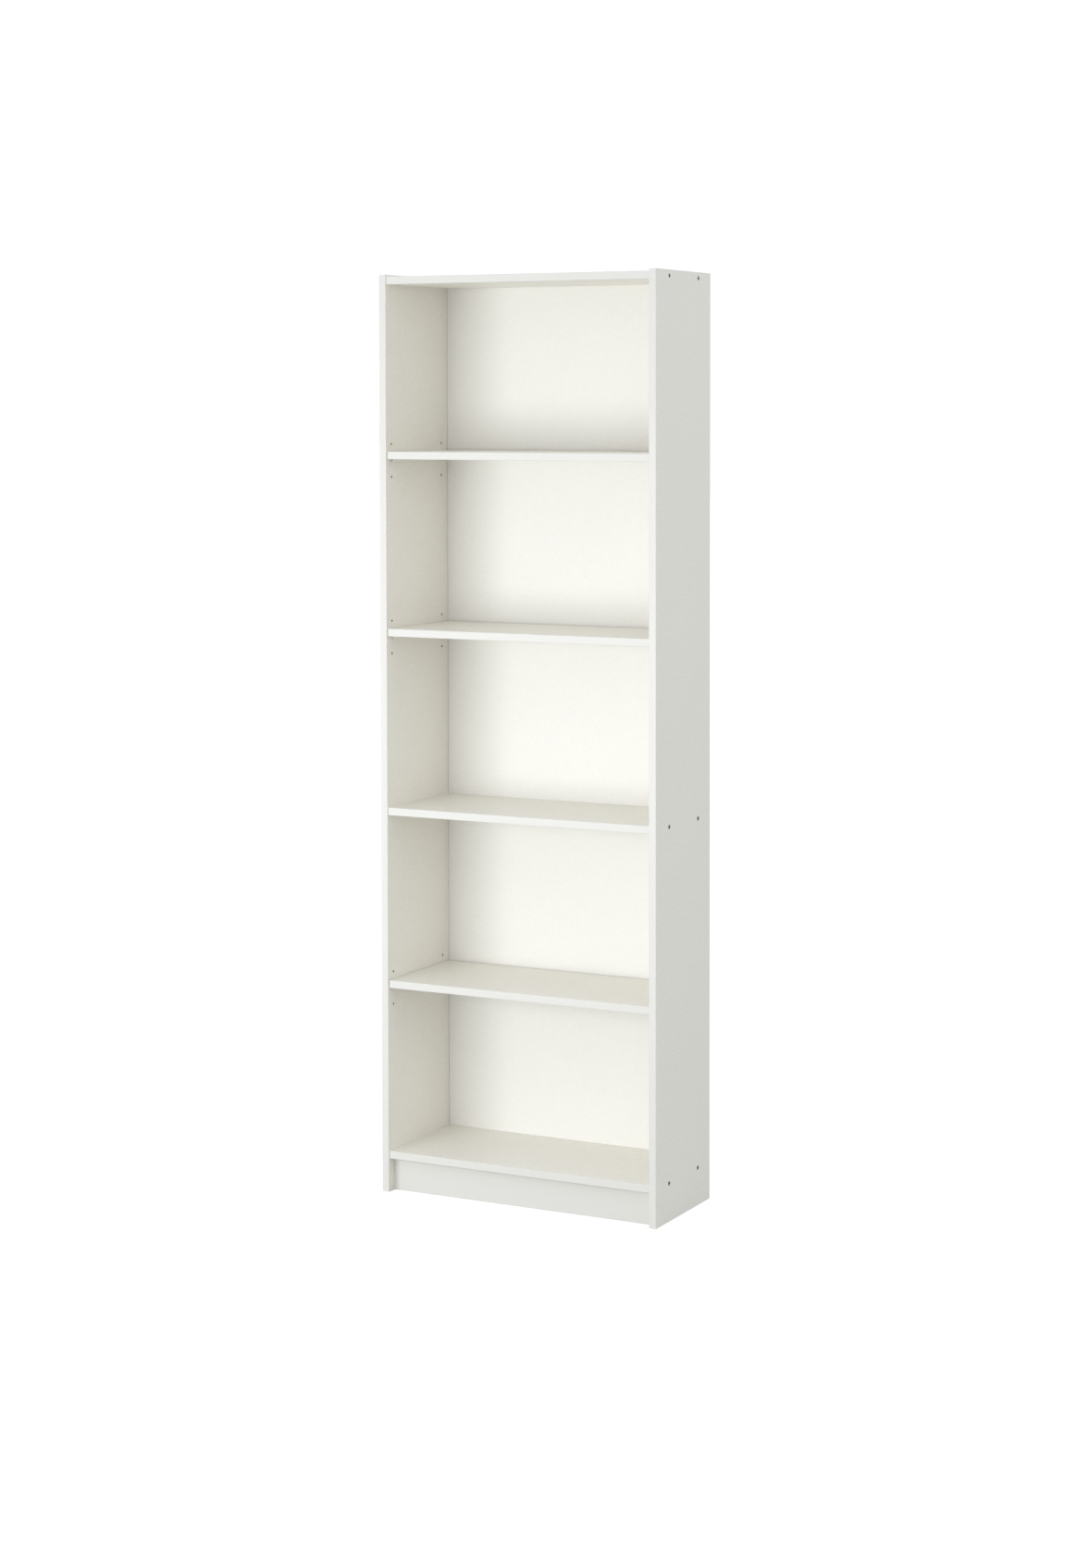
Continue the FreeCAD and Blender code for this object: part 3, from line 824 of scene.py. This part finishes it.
class BOOKCASE_OT_dowels(bpy.types.Operator):
    """Makes the fluted dowels that join the plinth to the sides"""

    bl_idname = "bookcase.dowels"
    bl_label = "Make the dowels"

    def execute(self, context):
        low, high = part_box("plinth_dowels")
        radius = (high.y - low.y) / 2
        reach = context.scene.bookcase_fasteners.dowel_length
        pattern = hold("dowel_pattern", mesh_of(
            lambda shape: build_dowel(shape, radius, reach), "dowel_pattern"))
        across, first = (low.y + high.y) / 2, low.z + radius
        rise = (0.0, 0.0, high.z - radius - first)
        values = {"Pattern": pattern, "Material": beech()}
        values.update(row("Left", 2, (low.x, across, first), rise, 0.0))
        values.update(row("Right", 2, (high.x, across, first), rise, math.pi))
        group = rows_tree("dowel_rows", ("Left", "Right"))
        new_piece("fluted_dowels", grown("fluted_dowels", group, values), CASE,
                  "plinth_dowels")
        bpy.data.objects.remove(pattern)
        return {"FINISHED"}


class BOOKCASE_OT_stage(bpy.types.Operator):
    """Sets the floor, the white room, the soft light and the camera"""

    bl_idname = "bookcase.stage"
    bl_label = "Set the stage"

    def execute(self, context):
        stage = context.scene.bookcase_stage
        self.floor(stage)
        self.room(context.scene, stage)
        self.light(context.scene, "key", stage.key_place, stage.key_power,
                   (stage.key_width, stage.key_height))
        self.light(context.scene, "side_light", stage.side_place, stage.side_power,
                   (stage.side_size, stage.side_size))
        self.camera(context.scene, stage)
        context.scene.view_settings.view_transform = "Standard"
        return {"FINISHED"}

    @staticmethod
    def floor(stage):
        """A wide pale floor under the bookcase."""
        bpy.ops.mesh.primitive_plane_add(size=FLOOR_SIZE, location=(0.0, 0.0, 0.0))
        floor = bpy.context.object
        floor.name = "floor"
        material, tree, shader = new_material("pale_floor", Roughness=0.9,
                                              Base_Color=rgba(stage.floor),
                                              Emission_Color=(1.0, 1.0, 1.0, 1.0),
                                              Emission_Strength=stage.floor_glow)
        bounce = tree.node("ShaderNodeBsdfDiffuse", Color=rgba(stage.floor_bounce))
        seen = tree.node("ShaderNodeLightPath").outputs["Is Camera Ray"]
        both = tree.node("ShaderNodeMixShader", _0=seen, _1=bounce.outputs[0],
                         _2=shader.outputs[0])
        output = material.node_tree.nodes["Material Output"]
        tree.tree.links.new(both.outputs[0], output.inputs["Surface"])
        floor.data.materials.append(material)

    @staticmethod
    def room(scene, stage):
        """A white room: dimmer as a light than as a backdrop."""
        world = bpy.data.worlds.new("white_room")
        world.use_nodes = True
        scene.world = world
        tree = Tree(world.node_tree)
        seen = Value(tree, tree.node("ShaderNodeLightPath").outputs["Is Camera Ray"])
        shader = world.node_tree.nodes["Background"]
        shader.inputs["Color"].default_value = ROOM_TINT
        feed(tree, shader, Strength=stage.fill + seen * (stage.backdrop - stage.fill))

    @staticmethod
    def light(scene, name, place, power, size):
        """A soft light that faces the middle of the bookcase."""
        light = bpy.data.lights.new(name, "AREA")
        light.shape = "RECTANGLE"
        light.size, light.size_y = size
        light.energy = power
        light.color = LIGHT_TINT
        lamp = bpy.data.objects.new(name, light)
        lamp.location = place
        towards = Vector(AIM) - lamp.location
        lamp.rotation_euler = towards.to_track_quat("-Z", "Y").to_euler()
        scene.collection.objects.link(lamp)

    @staticmethod
    def camera(scene, stage):
        """The camera, turned and tilted from straight ahead."""
        lens = bpy.data.cameras.new("camera")
        lens.lens, lens.sensor_width = stage.camera_lens, SENSOR_WIDTH
        lens.shift_x, lens.shift_y = stage.camera_shift
        camera = bpy.data.objects.new("camera", lens)
        camera.location = stage.camera_place
        camera.rotation_euler = (math.pi / 2 - stage.camera_tilt, 0.0, stage.camera_turn)
        scene.collection.objects.link(camera)
        scene.camera = camera


class BOOKCASE_PT_sidebar(bpy.types.Panel):
    """The bookcase's steps and settings"""

    bl_label = "Bookcase"
    bl_idname = "BOOKCASE_PT_sidebar"
    bl_space_type = "VIEW_3D"
    bl_region_type = "UI"
    bl_category = "Bookcase"

    def draw(self, context):
        for operator in STEPS:
            self.layout.operator(operator.bl_idname)
        for name, _ in SETTINGS:
            settings = getattr(context.scene, name)
            box = self.layout.box()
            for field in settings.bl_rna.properties:
                if field.identifier not in ("rna_type", "name"):
                    box.prop(settings, field.identifier)


SETTINGS = (
    ("bookcase_boards", BookcaseBoardSettings),
    ("bookcase_back", BookcaseBackSettings),
    ("bookcase_metal", BookcaseMetalSettings),
    ("bookcase_fasteners", BookcaseFastenerSettings),
    ("bookcase_stage", BookcaseStageSettings),
)
STEPS = (BOOKCASE_OT_boards, BOOKCASE_OT_back, BOOKCASE_OT_pins, BOOKCASE_OT_screws,
         BOOKCASE_OT_nails, BOOKCASE_OT_dowels, BOOKCASE_OT_stage)


def register():
    """Adds the settings, operators and panel."""
    for name, group in SETTINGS:
        bpy.utils.register_class(group)
        setattr(bpy.types.Scene, name, bpy.props.PointerProperty(type=group))
    for operator in STEPS:
        bpy.utils.register_class(operator)
    bpy.utils.register_class(BOOKCASE_PT_sidebar)


def unregister():
    """Takes them away again."""
    bpy.utils.unregister_class(BOOKCASE_PT_sidebar)
    for operator in reversed(STEPS):
        bpy.utils.unregister_class(operator)
    for name, group in reversed(SETTINGS):
        delattr(bpy.types.Scene, name)
        bpy.utils.unregister_class(group)


def main():
    """Builds the looks step by step."""
    register()
    for operator in STEPS:
        getattr(bpy.ops.bookcase, operator.bl_idname.split(".")[1])()


if __name__ == "__main__":
    main()
